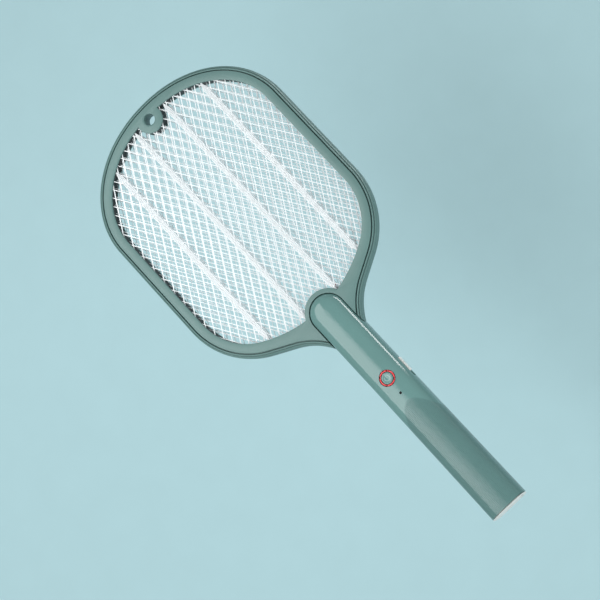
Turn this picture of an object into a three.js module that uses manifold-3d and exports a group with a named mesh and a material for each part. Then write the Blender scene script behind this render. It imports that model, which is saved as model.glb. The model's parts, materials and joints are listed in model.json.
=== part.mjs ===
// Electric fly swatter: a racket-shaped head with three wire nets, and a straight handle
// that holds a rechargeable cell and the high-voltage board. Millimetres, +Z up.
// It is drawn lying on its back: X across the head, Y from the end of the handle to the
// tip of the head, Z out of the front face, with z = 0 on the parting plane. The last
// lines move it so that the origin is under the middle of its box, on the surface it lies on.
import * as THREE from 'three';
import { mergeVertices } from 'three/addons/utils/BufferGeometryUtils.js';
import Module from 'manifold-3d';

const wasm = await Module();
wasm.setup();

// ---- driving dimensions ----

const GAP = 0.3;                    // clearance between pieces that touch

// head outline, on the line between the flat bezel and the rounded rim
const HEAD_HALF_WIDTH = 93.2;
const HEAD_TOP_Y = 379;             // where the straight sides end and the top begins
const HEAD_TOP_RISE = 73.6;
const TOP_POWER = 2.05;             // a little squarer than an ellipse
const SHOULDER_Y = 285.5;
const SHOULDER_RADIUS = 66;
const SHOULDER_TURN = 62 * THREE.MathUtils.DEG2RAD;
const NECK_SLOPE_LENGTH = 22;
const NECK_RADIUS = 62;
const RIM_WIDTH = 4;
const NECK_STEPS = 4;
const SHOULDER_STEPS = 6;
const TOP_STEPS = 10;
const LENGTH = HEAD_TOP_Y + HEAD_TOP_RISE + RIM_WIDTH;

// opening of the head, round the nets
const OPENING_HALF_WIDTH = 85.2;
const OPENING_TOP_RISE = 65.8;
const OPENING_CORNER_RADIUS = 54;
const OPENING_FLOOR_RADIUS = 115;
const OPENING_FLOOR_CENTRE_Y = 336.7;
const LOBE_RADIUS = 20.3;           // round the tip of the handle
const BOSS_RADIUS = 11.9;           // round the hanging hole
const BOSS_START_ANGLE = 0.2;       // where the boss leaves the top edge of the opening
const TOP_SHARE = TOP_STEPS / (TOP_STEPS + 0.8);  // of the quarter turn, up to the boss
const HANG_HOLE_RADIUS = 4.9;
const HANG_HOLE_Y = 441.8;
const HANG_TUBE_RADIUS = 7.5;

// heights in the head
const HEAD_HALF_THICKNESS = 7.5;
const BEZEL_THICKNESS = 1.9;
const RIM_FACE_Z = 7.2;
const PARTING = GAP / 2;
const SHELF_TOP = 5.3;
const SHELF_THICKNESS = 2;
const SHELF_WIDTH = 5;
const SHELF_GAP_HALF_WIDTH = 20;    // the shelf stops on both sides of the hanging boss
const NET_THICKNESS = 0.4;
const OUTER_NET_Z = 4.7;            // inner face of the front net, and of the rear one
const SPACER_WIDTH = 2.4;
const SPACER_TOP = OUTER_NET_Z - GAP;
const SPACER_BOTTOM = NET_THICKNESS / 2 + GAP / 2;

// nets
const NET_REACH = 2.2;              // how far a net runs in between bezel and spacer
const CELL_WIDTH = 35;
const CELL_LENGTH = 58.3;
const STRAND_HALF_WIDTH = 1.5;
const RIDGE_SPACING = 35;
const RIDGE_WIDTH = 3;
const RIDGE_HEIGHT = 1;

// handle
const HANDLE_HALF_WIDTH = 16.3;
const HANDLE_HALF_DEPTH = 12.8;
const HANDLE_POWER = 3.4;           // the section is a rounded rectangle
const HANDLE_FLARE = 17.0 / 16.3;   // how much wider the end is
const HANDLE_TIP_Y = 214.5;         // centre of the round tip
const HANDLE_END_Y = 1.1;
const HANDLE_STEPS = 3;
const SECTION_SIDES = 36;
const TIP_SIDES = 24;
const WALL = 2;
const REST_Z = -12.4;               // flat along the back of the handle
const CAP_FLANGE = 0.8;
const CAP_SKIRT_END = 7;
const CAP_SKIRT_WALL = 1.8;

// charging inlet in the end cap, a USB-C socket on a small board
const SOCKET_HALF_WIDTH = 4.47;
const SOCKET_HALF_HEIGHT = 1.63;
const SOCKET_Z = -0.25;
const SOCKET_START_Y = 0.3;
const SOCKET_END_Y = 7.8;
const SOCKET_SHEET = 0.3;
const CHARGE_BOARD_TOP = SOCKET_Z - SOCKET_HALF_HEIGHT - GAP;
const BOARD_THICKNESS = 1.2;

// controls
const BUTTON_Y = 140.9;
const BUTTON_RADIUS = 4.95;
const BUTTON_TOP = 12.9;
const BUTTON_TRAVEL = 0.8;
const RING_INNER = 5.2;
const RING_OUTER = 6.7;
const LED_Y = 124.7;
const LED_RADIUS = 0.9;
const SLIDER_Y = 141.5;
const SLIDER_LENGTH = 14;
const SLIDER_HALF_HEIGHT = 2.7;
const SLIDER_TRAVEL = 5;
const SLIDER_OUT = 17.5;            // how far the knob stands out from the middle

// inside the handle
const BOARD_BOTTOM = -1;
const BOARD_TOP = 0.6;
const BOARD_START_Y = 97;
const BOARD_END_Y = 196;
const BOARD_HALF_WIDTH = 11.5;
const CELL_RADIUS = 9.25;           // a standard 18650 cell
const CELL_BODY_LENGTH = 65;
const CELL_START_Y = 18;
const CELL_Z = -0.6;
const WIRE_RADIUS = 0.7;
const LEAD_ANGLE = 37 * THREE.MathUtils.DEG2RAD;  // the high-voltage leads leave the tip here
const LEAD_Z = 1.2;

// screws
const HEAD_SCREW_INSET = 3;
const HEAD_SCREW_LOW_ANGLE = -0.8;  // on the shoulder's arc
const HEAD_SCREW_SIDE_Y = 335;
const HEAD_SCREW_TOP_ANGLE = 0.9;   // on the superellipse of the top
const HEAD_SCREW_SHANK = 1.2;
const HEAD_SCREW_HEAD = 2.2;
const HANDLE_SCREW_Y = [90, 207];
const HANDLE_SCREW_SHANK = 1.3;
const HANDLE_SCREW_HEAD = 2.5;
const HANDLE_SCREW_SEAT = -6.3;
const CLEARANCE = 0.3;              // between a screw and its hole
const SCREW_SIDES = 10;

// ---- outlines, as lists of points in the plane of the head ----

const TURN = 2 * Math.PI;

function point(x, y) {
  return new THREE.Vector2(x, y);
}

function arc(centreX, centreY, radius, from, to, steps) {
  return Array.from({ length: steps + 1 }, (unused, i) => {
    const angle = from + (to - from) * i / steps;
    return point(centreX + radius * Math.cos(angle), centreY + radius * Math.sin(angle));
  });
}

function superellipsePoint(halfWidth, halfHeight, power, angle) {
  const c = Math.cos(angle);
  const s = Math.sin(angle);
  return point(
    halfWidth * Math.sign(c) * Math.abs(c) ** (2 / power),
    halfHeight * Math.sign(s) * Math.abs(s) ** (2 / power),
  );
}

// A right half that runs from bottom to top, closed by its own mirror image.
function closedByMirror(half) {
  const left = half.filter((p) => p.x > 1e-6).map((p) => point(-p.x, p.y)).reverse();
  return [...half, ...left];
}

// Right half of the head outline, moved outwards by a distance, from the side of the
// handle at x = startX to the tip.
function headHalf(outwards, startX) {
  const lean = Math.PI / 2 - SHOULDER_TURN;
  const radius = SHOULDER_RADIUS + outwards;
  const shoulderX = HEAD_HALF_WIDTH - SHOULDER_RADIUS;
  const shoulder = arc(shoulderX, SHOULDER_Y, radius, -SHOULDER_TURN, 0, SHOULDER_STEPS);
  const neckRadius = NECK_RADIUS - outwards;
  const slopeEnd = shoulder[0].clone().sub(
    point(NECK_SLOPE_LENGTH * Math.cos(lean), NECK_SLOPE_LENGTH * Math.sin(lean)),
  );
  const centreX = slopeEnd.x + neckRadius * Math.sin(lean);
  const centreY = slopeEnd.y - neckRadius * Math.cos(lean);
  const first = Math.acos((startX - centreX) / neckRadius);
  const neck = arc(centreX, centreY, neckRadius, first, Math.PI / 2 + lean, NECK_STEPS);
  const top = Array.from({ length: TOP_STEPS + 1 }, (unused, i) => superellipsePoint(
    HEAD_HALF_WIDTH + outwards, HEAD_TOP_RISE + outwards, TOP_POWER, i / TOP_STEPS * Math.PI / 2,
  ).add(point(0, HEAD_TOP_Y)));
  top[TOP_STEPS].x = 0;
  return [...neck, ...shoulder, ...top];
}

// The opening: lobe, floor, rounded corners, straight sides, top and hanging boss.
function openingOutline() {
  const floorDrop = OPENING_FLOOR_CENTRE_Y - HANDLE_TIP_Y;
  const lobeTurn = Math.asin(
    (floorDrop ** 2 + LOBE_RADIUS ** 2 - OPENING_FLOOR_RADIUS ** 2)
    / (2 * floorDrop * LOBE_RADIUS),
  );
  const lobe = arc(0, HANDLE_TIP_Y, LOBE_RADIUS, Math.PI / 2, lobeTurn, 7);
  const valley = lobe[lobe.length - 1];
  const cornerX = OPENING_HALF_WIDTH - OPENING_CORNER_RADIUS;
  const reach = OPENING_FLOOR_RADIUS - OPENING_CORNER_RADIUS;
  const cornerY = OPENING_FLOOR_CENTRE_Y - Math.sqrt(reach ** 2 - cornerX ** 2);
  const tangent = -Math.acos(cornerX / reach);
  const floorStart = Math.atan2(valley.y - OPENING_FLOOR_CENTRE_Y, valley.x);
  const floor = arc(0, OPENING_FLOOR_CENTRE_Y, OPENING_FLOOR_RADIUS, floorStart, tangent, 4);
  const corner = arc(cornerX, cornerY, OPENING_CORNER_RADIUS, tangent, 0, 6);
  const boss = arc(0, HANG_HOLE_Y, BOSS_RADIUS, BOSS_START_ANGLE, -Math.PI / 2, 6);
  const top = Array.from({ length: TOP_STEPS }, (unused, i) => superellipsePoint(
    OPENING_HALF_WIDTH, OPENING_TOP_RISE, TOP_POWER, i / TOP_STEPS * TOP_SHARE * Math.PI / 2,
  ).add(point(0, HEAD_TOP_Y)));
  boss[boss.length - 1].x = 0;
  lobe[0].x = 0;
  return closedByMirror([...lobe, ...floor.slice(1), ...corner.slice(1), ...top, ...boss]);
}

// A closed outline moved outwards, each corner along the line that halves it.
function grown(outline, distance) {
  const count = outline.length;
  return outline.map((p, i) => {
    const before = p.clone().sub(outline[(i + count - 1) % count]).normalize();
    const after = outline[(i + 1) % count].clone().sub(p).normalize();
    const normal = point(before.y + after.y, -before.x - after.x).normalize();
    const spread = Math.max(normal.dot(point(after.y, -after.x)), 0.5);
    return p.clone().addScaledVector(normal, distance / spread);
  });
}

function handleSection(halfWidth, halfDepth) {
  return Array.from({ length: SECTION_SIDES }, (unused, i) => superellipsePoint(
    halfWidth, halfDepth, HANDLE_POWER, i / SECTION_SIDES * TURN,
  ));
}

// ---- geometry helpers ----

function extruded(outline, bottom, top, holes = []) {
  const shape = new THREE.Shape(outline);
  shape.holes = holes.map((hole) => new THREE.Path(hole));
  const geometry = new THREE.ExtrudeGeometry(shape, { depth: top - bottom, bevelEnabled: false });
  return geometry.translate(0, 0, bottom);
}

function box(x0, x1, y0, y1, z0, z1) {
  const geometry = new THREE.BoxGeometry(x1 - x0, y1 - y0, z1 - z0);
  return geometry.translate((x0 + x1) / 2, (y0 + y1) / 2, (z0 + z1) / 2);
}

function cylinder(x, y, z0, z1, radius, sides = 24) {
  const geometry = new THREE.CylinderGeometry(radius, radius, z1 - z0, sides);
  return geometry.rotateX(Math.PI / 2).translate(x, y, (z0 + z1) / 2);
}

// A turned piece: the profile is a list of [radius, height] that starts and ends on the
// axis or closes on itself, and its axis ends up along +Z.
function turned(profile, sides) {
  const points = profile.map(([radius, height]) => point(radius, height));
  return new THREE.LatheGeometry(points, sides).rotateX(Math.PI / 2);
}

function solid(geometry) {
  geometry.deleteAttribute('normal');
  geometry.deleteAttribute('uv');
  const merged = mergeVertices(geometry);
  return new wasm.Manifold(new wasm.Mesh({
    numProp: 3,
    vertProperties: new Float32Array(merged.attributes.position.array),
    triVerts: new Uint32Array(merged.index.array),
  }));
}

function join(...pieces) {
  return pieces.map((piece) => (piece.add ? piece : solid(piece))).reduce((a, b) => a.add(b));
}

function cut(from, ...tools) {
  const start = from.subtract ? from : solid(from);
  return tools.reduce((rest, tool) => rest.subtract(tool.add ? tool : solid(tool)), start);
}

function wire(points, radius = WIRE_RADIUS, steps = 16) {
  const route = new THREE.CatmullRomCurve3(points.map((p) => new THREE.Vector3(...p)));
  const section = new THREE.Shape(arc(0, 0, radius, 0, TURN, 8).slice(0, 8));
  return new THREE.ExtrudeGeometry(section, { steps, extrudePath: route, curveSegments: 8 });
}

const FINISHES = {
  green: { color: 0x7c9b95, roughness: 0.42, metalness: 0 },
  handle: { color: 0x719190, roughness: 0.25, metalness: 0 },
  black: { color: 0x17191a, roughness: 0.6, metalness: 0 },
  net: { color: 0xe4eae8, roughness: 0.35, metalness: 0.7 },
  white: { color: 0xe1e1e1, roughness: 0.4, metalness: 0 },
  red: { color: 0xe63c46, roughness: 0.3, metalness: 0 },
  board: { color: 0x2e6b3c, roughness: 0.5, metalness: 0 },
  copper: { color: 0xb9743a, roughness: 0.35, metalness: 0.8 },
  ferrite: { color: 0x2c2c2e, roughness: 0.8, metalness: 0 },
  film: { color: 0x9a4a24, roughness: 0.4, metalness: 0 },
  cell: { color: 0x2f6fae, roughness: 0.35, metalness: 0 },
  steel: { color: 0xb8babc, roughness: 0.3, metalness: 1 },
};

const object = new THREE.Group();

function add(name, finish, shape) {
  let geometry = shape;
  if (shape.getMesh) {
    const { vertProperties, triVerts } = shape.getMesh();
    geometry = new THREE.BufferGeometry();
    geometry.setAttribute('position', new THREE.BufferAttribute(vertProperties, 3));
    geometry.setIndex(new THREE.BufferAttribute(triVerts, 1));
    geometry.computeVertexNormals();
  }
  const mesh = new THREE.Mesh(geometry, new THREE.MeshStandardMaterial(FINISHES[finish]));
  mesh.name = name;
  object.add(mesh);
}

// The same piece for the front and, turned over about the Y axis, for the rear.
function turnedOver(shape) {
  return shape.rotate([0, 180, 0]);
}

// ---- head ----

const opening = openingOutline();

const headScrews = [];
for (const side of [-1, 1]) {
  const shoulderX = HEAD_HALF_WIDTH - SHOULDER_RADIUS;
  const low = point(SHOULDER_RADIUS - HEAD_SCREW_INSET, 0).rotateAround(
    point(0, 0), HEAD_SCREW_LOW_ANGLE,
  );
  const high = superellipsePoint(
    HEAD_HALF_WIDTH - HEAD_SCREW_INSET, HEAD_TOP_RISE - HEAD_SCREW_INSET,
    TOP_POWER, HEAD_SCREW_TOP_ANGLE,
  );
  headScrews.push([side * (shoulderX + low.x), SHOULDER_Y + low.y]);
  headScrews.push([side * (HEAD_HALF_WIDTH - HEAD_SCREW_INSET), HEAD_SCREW_SIDE_Y]);
  headScrews.push([side * high.x, HEAD_TOP_Y + high.y]);
}

function bezel() {
  const half = HANDLE_HALF_WIDTH;
  const outline = [
    ...closedByMirror(headHalf(-GAP, half)),
    ...arc(0, HANDLE_TIP_Y, half, Math.PI, 0, 14),
  ];
  const bottom = HEAD_HALF_THICKNESS - BEZEL_THICKNESS;
  const plate = extruded(outline, bottom, HEAD_HALF_THICKNESS, [opening]);
  const tube = cylinder(0, HANG_HOLE_Y, PARTING, bottom + 1, HANG_TUBE_RADIUS, 24);
  const hole = cylinder(0, HANG_HOLE_Y, -1, HEAD_HALF_THICKNESS + 1, HANG_HOLE_RADIUS, 24);
  return cut(join(plate, tube), hole);
}

function rim() {
  const end = HANDLE_HALF_WIDTH + GAP;
  const ringBetween = (outer, inner) => [
    ...closedByMirror(headHalf(outer, end)),
    ...closedByMirror(headHalf(inner, end)).reverse(),
  ];
  const wall = extruded(ringBetween(RIM_WIDTH, 0), PARTING, RIM_FACE_Z);
  const shelfBottom = SHELF_TOP - SHELF_THICKNESS;
  const shelf = extruded(ringBetween(1, -SHELF_WIDTH), shelfBottom, SHELF_TOP);
  const tubeRoom = cylinder(0, HANG_HOLE_Y, 0, SHELF_TOP + 1, HANG_TUBE_RADIUS + GAP, 24);
  const shelfGap = box(
    -SHELF_GAP_HALF_WIDTH, SHELF_GAP_HALF_WIDTH, HANG_HOLE_Y - BOSS_RADIUS,
    HANG_HOLE_Y + HANG_TUBE_RADIUS + GAP, shelfBottom - 1, SHELF_TOP + 1,
  );
  const holes = headScrews.map(
    ([x, y]) => cylinder(x, y, 1, SHELF_TOP + 1, HEAD_SCREW_SHANK + CLEARANCE, SCREW_SIDES),
  );
  return cut(join(wall, shelf), tubeRoom, shelfGap, ...holes);
}

function leadNotch(side) {
  const notch = box(12, 24, -1.3, 1.3, -GAP, LEAD_Z + 1.2);
  notch.rotateZ(LEAD_ANGLE).translate(0, HANDLE_TIP_Y, 0);
  return side > 0 ? solid(notch) : turnedOver(solid(notch));
}

function spacer() {
  const ring = extruded(grown(opening, SPACER_WIDTH), SPACER_BOTTOM, SPACER_TOP, [opening]);
  return cut(ring, leadNotch(1));
}

// Wide-meshed sheet with diamond cells that lie along the racket, and a plain edge. It
// stands in for expanded metal, whose cells are about a quarter as wide.
function netSheet() {
  const cells = [];
  const alongRows = Math.ceil(LENGTH / CELL_LENGTH) * 2;
  const halfWidth = CELL_WIDTH / 2 - STRAND_HALF_WIDTH;
  const halfLength = halfWidth * CELL_LENGTH / CELL_WIDTH;
  for (let row = 0; row < alongRows; row += 1) {
    for (let column = -8; column <= 8; column += 1) {
      const x = column * CELL_WIDTH / 2;
      const y = row * CELL_LENGTH / 2;
      const odd = (row + column) % 2 !== 0;
      if (odd || Math.abs(x) > OPENING_HALF_WIDTH || y < HANDLE_TIP_Y) continue;
      cells.push(solid(extruded([
        point(x - halfWidth, y), point(x, y - halfLength),
        point(x + halfWidth, y), point(x, y + halfLength),
      ], -1, 1)));
    }
  }
  const inside = solid(extruded(grown(opening, -1), -2, 2));
  const half = NET_THICKNESS / 2;
  const sheet = extruded(grown(opening, NET_REACH), -half, half);
  return cut(sheet, join(...cells).intersect(inside));
}

// The outer nets are stiffened by four ridges pressed into them.
function ridgedNet(sheet) {
  const top = NET_THICKNESS / 2 + RIDGE_HEIGHT;
  const inside = solid(extruded(grown(opening, -1.5), -2, 2));
  const bars = [-1.5, -0.5, 0.5, 1.5].map((step) => box(
    step * RIDGE_SPACING - RIDGE_WIDTH / 2, step * RIDGE_SPACING + RIDGE_WIDTH / 2,
    HANDLE_TIP_Y, HANG_HOLE_Y, -NET_THICKNESS / 2, top,
  ));
  return sheet.add(join(...bars).intersect(inside));
}

function screw(x, y, seat, tip, shank, headRadius, headHeight) {
  const geometry = turned([
    [0, tip], [shank, tip], [shank, seat], [headRadius, seat],
    [headRadius, seat - headHeight * 0.6], [headRadius * 0.6, seat - headHeight],
    [0, seat - headHeight],
  ].reverse(), SCREW_SIDES);
  return geometry.translate(x, y, 0);
}

function buildHead() {
  const frontBezel = bezel();
  const frontRim = rim();
  const frontSpacer = spacer();
  add('front_bezel', 'green', frontBezel);
  add('front_rim', 'green', frontRim);
  add('front_net_spacer', 'black', frontSpacer);

  const headRoom = headScrews.map(
    ([x, y]) => cylinder(x, y, 0, HEAD_HALF_THICKNESS + 1, HEAD_SCREW_HEAD + CLEARANCE, SCREW_SIDES),
  );
  add('rear_bezel', 'green', turnedOver(cut(frontBezel, ...headRoom)));
  add('rear_rim', 'green', turnedOver(frontRim));
  add('rear_net_spacer', 'black', turnedOver(frontSpacer));

  const sheet = netSheet();
  const outerNet = ridgedNet(sheet).translate([0, 0, OUTER_NET_Z + NET_THICKNESS / 2]);
  add('front_net', 'net', outerNet);
  add('middle_net', 'net', sheet);
  add('rear_net', 'net', turnedOver(outerNet));

  const seat = -SHELF_TOP - GAP;
  headScrews.forEach(([x, y], i) => {
    const tip = SHELF_TOP - 0.5;
    add(`head_screw_${i + 1}`, 'steel',
      screw(x, y, seat, tip, HEAD_SCREW_SHANK, HEAD_SCREW_HEAD, 1.6));
  });
}

// ---- handle ----

// A straight bar with the handle's section that flares towards its free end, joined to a
// turned tip with the same section. inset is how far it lies inside the handle's skin.
function handleBody(inset, endY) {
  const halfWidth = HANDLE_HALF_WIDTH - inset;
  const halfDepth = HANDLE_HALF_DEPTH - inset;
  const section = handleSection(halfWidth, halfDepth);
  const bar = new THREE.ExtrudeGeometry(new THREE.Shape(section), {
    depth: HANDLE_TIP_Y - endY, bevelEnabled: false, steps: HANDLE_STEPS,
  });
  const place = bar.attributes.position;
  for (let i = 0; i < place.count; i += 1) {
    const scale = flareAt(HANDLE_TIP_Y - place.getZ(i));
    place.setX(i, place.getX(i) * scale);
    place.setY(i, place.getY(i) * scale);
  }
  bar.rotateX(Math.PI / 2).translate(0, HANDLE_TIP_Y, 0);
  const profile = section.filter((p) => p.x > -1e-6).sort((a, b) => a.y - b.y);
  profile[0].x = 0;
  profile[profile.length - 1].x = 0;
  const tip = turned(profile.map((p) => [p.x, p.y]), TIP_SIDES).translate(0, HANDLE_TIP_Y, 0);
  const aboveRest = box(-30, 30, -20, 260, REST_Z + inset, 30);
  return join(bar, tip).intersect(solid(aboveRest));
}

// Two thirds of the handle's length flares, in step with the stations of the bar.
function flareAt(y) {
  const flareLength = HANDLE_TIP_Y * (HANDLE_STEPS - 1) / HANDLE_STEPS;
  return 1 + (HANDLE_FLARE - 1) * Math.max(0, 1 - y / flareLength);
}

function sliderSlot() {
  const low = SLIDER_Y - SLIDER_LENGTH / 2 - SLIDER_TRAVEL - GAP;
  const high = SLIDER_Y + SLIDER_LENGTH / 2 + GAP;
  const half = SLIDER_HALF_HEIGHT + GAP;
  return box(10, 22, low, high, -half, half);
}

function buildHandleCovers() {
  const shell = cut(handleBody(0, HANDLE_END_Y), handleBody(WALL, -5));
  const inner = handleBody(WALL / 2, 0);
  const half = (z0, z1) => solid(box(-40, 40, -20, 260, z0, z1));

  const frontPosts = HANDLE_SCREW_Y.map((y) => cylinder(0, y, PARTING, 14, 3, 16));
  const pilotHoles = HANDLE_SCREW_Y.map(
    (y) => cylinder(0, y, -1, 7, HANDLE_SCREW_SHANK + CLEARANCE, SCREW_SIDES),
  );
  const front = join(shell.intersect(half(PARTING, 30)), join(...frontPosts).intersect(inner));
  add('handle_front_cover', 'handle', cut(
    front,
    ...pilotHoles,
    cylinder(0, BUTTON_Y, 5, 20, RING_OUTER + GAP, 24),
    cylinder(0, LED_Y, 5, 20, LED_RADIUS + GAP, 12),
    sliderSlot(),
    leadNotch(1),
  ));

  const rearPosts = HANDLE_SCREW_Y.map((y) => cylinder(0, y, -14, -PARTING, 4, 16));
  const screwRoom = HANDLE_SCREW_Y.flatMap((y) => [
    cylinder(0, y, -20, 1, HANDLE_SCREW_SHANK + CLEARANCE, SCREW_SIDES),
    cylinder(0, y, -20, HANDLE_SCREW_SEAT + GAP, HANDLE_SCREW_HEAD + CLEARANCE, SCREW_SIDES),
  ]);
  const rear = join(shell.intersect(half(-30, -PARTING)), join(...rearPosts).intersect(inner));
  add('handle_rear_cover', 'handle', cut(rear, ...screwRoom, sliderSlot(), leadNotch(-1)));

  HANDLE_SCREW_Y.forEach((y, i) => {
    add(`handle_screw_${i + 1}`, 'steel', screw(
      0, y, HANDLE_SCREW_SEAT, 6, HANDLE_SCREW_SHANK, HANDLE_SCREW_HEAD, 1.8,
    ));
  });
}

// Rounded slot, such as the mouth of a charging socket, across X and along Y.
function slotAlongY(halfWidth, halfHeight, z, y0, y1) {
  const flat = halfWidth - halfHeight;
  const outline = [
    ...arc(flat, 0, halfHeight, -Math.PI / 2, Math.PI / 2, 6),
    ...arc(-flat, 0, halfHeight, Math.PI / 2, Math.PI * 3 / 2, 6),
  ];
  return extruded(outline, 0, y1 - y0).rotateX(Math.PI / 2).translate(0, y1, z);
}

function buildEndCap() {
  const flange = handleBody(0, 0).intersect(solid(box(-40, 40, -1, CAP_FLANGE, -40, 40)));
  const skirtOut = WALL + GAP;
  const skirt = cut(handleBody(skirtOut, 0), handleBody(skirtOut + CAP_SKIRT_WALL, -5))
    .intersect(solid(box(-40, 40, CAP_FLANGE / 2, CAP_SKIRT_END, -40, 40)));
  const mouth = slotAlongY(
    SOCKET_HALF_WIDTH + GAP, SOCKET_HALF_HEIGHT + GAP, SOCKET_Z, -1, CAP_FLANGE + 1,
  );
  add('end_cap', 'white', cut(join(flange, skirt), mouth));

  const shell = slotAlongY(
    SOCKET_HALF_WIDTH, SOCKET_HALF_HEIGHT, SOCKET_Z, SOCKET_START_Y, SOCKET_END_Y,
  );
  const backWall = SOCKET_END_Y - 4 * SOCKET_SHEET;
  const cavity = slotAlongY(
    SOCKET_HALF_WIDTH - SOCKET_SHEET, SOCKET_HALF_HEIGHT - SOCKET_SHEET, SOCKET_Z, -1, backWall,
  );
  const tongueHalf = 0.35;
  const tongue = box(-3.3, 3.3, 1, 7, SOCKET_Z - tongueHalf, SOCKET_Z + tongueHalf);
  add('charge_socket', 'steel', join(cut(shell, cavity), tongue));
  add('charge_board', 'board', box(
    -8, 8, 1.2, 15.5, CHARGE_BOARD_TOP - BOARD_THICKNESS, CHARGE_BOARD_TOP,
  ));
}

// ---- controls ----

function buildControls() {
  const wallInside = HANDLE_HALF_DEPTH - WALL - 1;
  const switchTop = 5.4;
  const stemEnd = switchTop + BUTTON_TRAVEL + GAP;
  add('power_button', 'handle', turned([
    [0, stemEnd], [2.2, stemEnd], [2.2, wallInside - 2.2], [6.3, wallInside - 2.2],
    [6.3, wallInside - 1.2], [BUTTON_RADIUS, wallInside - 1.2], [BUTTON_RADIUS, BUTTON_TOP - 0.4],
    [BUTTON_RADIUS - 0.5, BUTTON_TOP], [0, BUTTON_TOP],
  ], 24).translate(0, BUTTON_Y, 0));
  add('button_light_ring', 'red', turned([
    [RING_INNER, wallInside - 0.7], [8.2, wallInside - 0.7], [8.2, wallInside + 0.1],
    [RING_OUTER, wallInside + 0.1], [RING_OUTER, HANDLE_HALF_DEPTH],
    [RING_INNER, HANDLE_HALF_DEPTH], [RING_INNER, wallInside - 0.7],
  ], 24).translate(0, BUTTON_Y, 0));
  add('tactile_switch', 'black', join(
    box(-3, 3, BUTTON_Y - 3, BUTTON_Y + 3, BOARD_TOP + 0.1, 4.2),
    cylinder(0, BUTTON_Y, 4, switchTop, 1.75, 16),
  ));
  add('status_lens', 'black', turned([
    [0, 4], [1.6, 4], [1.6, 7], [LED_RADIUS, 7], [LED_RADIUS, 12.6], [0, 12.6],
  ], 12).translate(0, LED_Y, 0));
  add('status_led', 'white', box(-1.6, 1.6, LED_Y - 0.8, LED_Y + 0.8, BOARD_TOP + 0.1, 1.6));

  const half = SLIDER_LENGTH / 2;
  const plateLow = SLIDER_Y - half - 6.5;
  const plateHigh = SLIDER_Y + half + 5.5;
  const grips = [-4, -2, 0, 2, 4].map((step) => box(
    SLIDER_OUT - 0.5, SLIDER_OUT + 1, SLIDER_Y + step - 0.4, SLIDER_Y + step + 0.4, -9, 9,
  ));
  add('slide_switch_knob', 'white', cut(join(
    box(13, SLIDER_OUT, SLIDER_Y - half, SLIDER_Y + half, -SLIDER_HALF_HEIGHT, SLIDER_HALF_HEIGHT),
    box(12.3, 13.5, plateLow, plateHigh, -4.2, 4.2),
    box(12.3, 13.2, SLIDER_Y - 2, SLIDER_Y + 2, 4, 6.4),
    box(9.6, 13, SLIDER_Y - 1.5, SLIDER_Y + 1.5, 5.4, 6.4),
  ), ...grips));
  add('slide_switch_lever', 'black', box(7.2, 9.2, SLIDER_Y - 1, SLIDER_Y + 1, 5.2, 7));
  add('slide_switch_body', 'steel', box(
    5.5, 11, SLIDER_Y - 9, SLIDER_Y + 4, BOARD_TOP + 0.1, 4.9,
  ));
}

// ---- electronics ----

function buildBoard() {
  add('circuit_board', 'board', box(
    -BOARD_HALF_WIDTH, BOARD_HALF_WIDTH, BOARD_START_Y, BOARD_END_Y, BOARD_BOTTOM, BOARD_TOP,
  ));
  const foot = BOARD_TOP + 0.1;
  const core = { y: 172, halfWidth: 6.5, halfLength: 6, top: 9.6, wall: 2.2 };
  const window = core.halfWidth - core.wall;
  add('transformer_core', 'ferrite', cut(
    box(
      -core.halfWidth, core.halfWidth,
      core.y - core.halfLength, core.y + core.halfLength, foot, core.top,
    ),
    box(
      -window, window,
      core.y - core.halfLength - 1, core.y + core.halfLength + 1,
      foot + core.wall, core.top - core.wall,
    ),
  ));
  add('transformer_coil', 'copper', box(
    GAP - window, window - GAP, core.y - core.halfLength - 2, core.y + core.halfLength + 2,
    foot + core.wall + GAP, core.top - core.wall - GAP,
  ));
  add('storage_capacitor', 'film', box(-9.5, 2.5, 182.5, 194, foot, 8.5));
  const diode = { x: 9.8, firstY: 156, spacing: 7, radius: 1.35, length: 5, z: 2.2 };
  for (let i = 0; i < 4; i += 1) {
    const body = new THREE.CylinderGeometry(diode.radius, diode.radius, diode.length, 12);
    const x = i % 2 ? diode.x : -diode.x;
    const y = diode.firstY + Math.floor(i / 2) * diode.spacing;
    add(`rectifier_diode_${i + 1}`, 'black', body.translate(x, y, diode.z));
  }
  const transistor = extruded([
    ...arc(0, 0, 2.4, -0.9, Math.PI + 0.9, 8),
  ], foot, 5.6).translate(7.5, 113, 0);
  add('power_transistor', 'black', transistor);
  const resistor = new THREE.CylinderGeometry(1.2, 1.2, 6.5, 12).translate(6.5, 187, 2.1);
  add('bleed_resistor', 'film', resistor);
  add('charge_controller', 'black', box(-4.5, -0.5, 103, 108, foot, 2.3));
}

function buildCell() {
  const top = CELL_BODY_LENGTH;
  const cell = turned([
    [0, 0], [CELL_RADIUS - 0.4, 0], [CELL_RADIUS, 0.4], [CELL_RADIUS, top - 1.6],
    [CELL_RADIUS - 0.5, top - 1.1], [3, top - 1.1], [3, top], [0, top],
  ], 28);
  cell.rotateX(-Math.PI / 2).translate(0, CELL_START_Y, CELL_Z);
  add('battery_cell', 'cell', cell);
  const tab = (y) => box(-3, 3, y - 0.1, y + 0.1, CELL_Z - 5, CELL_Z + 5);
  const ends = [CELL_START_Y - GAP - 0.1, CELL_START_Y + top + GAP + 0.1];
  add('battery_tab_negative', 'steel', tab(ends[0]));
  add('battery_tab_positive', 'steel', tab(ends[1]));
}

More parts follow.
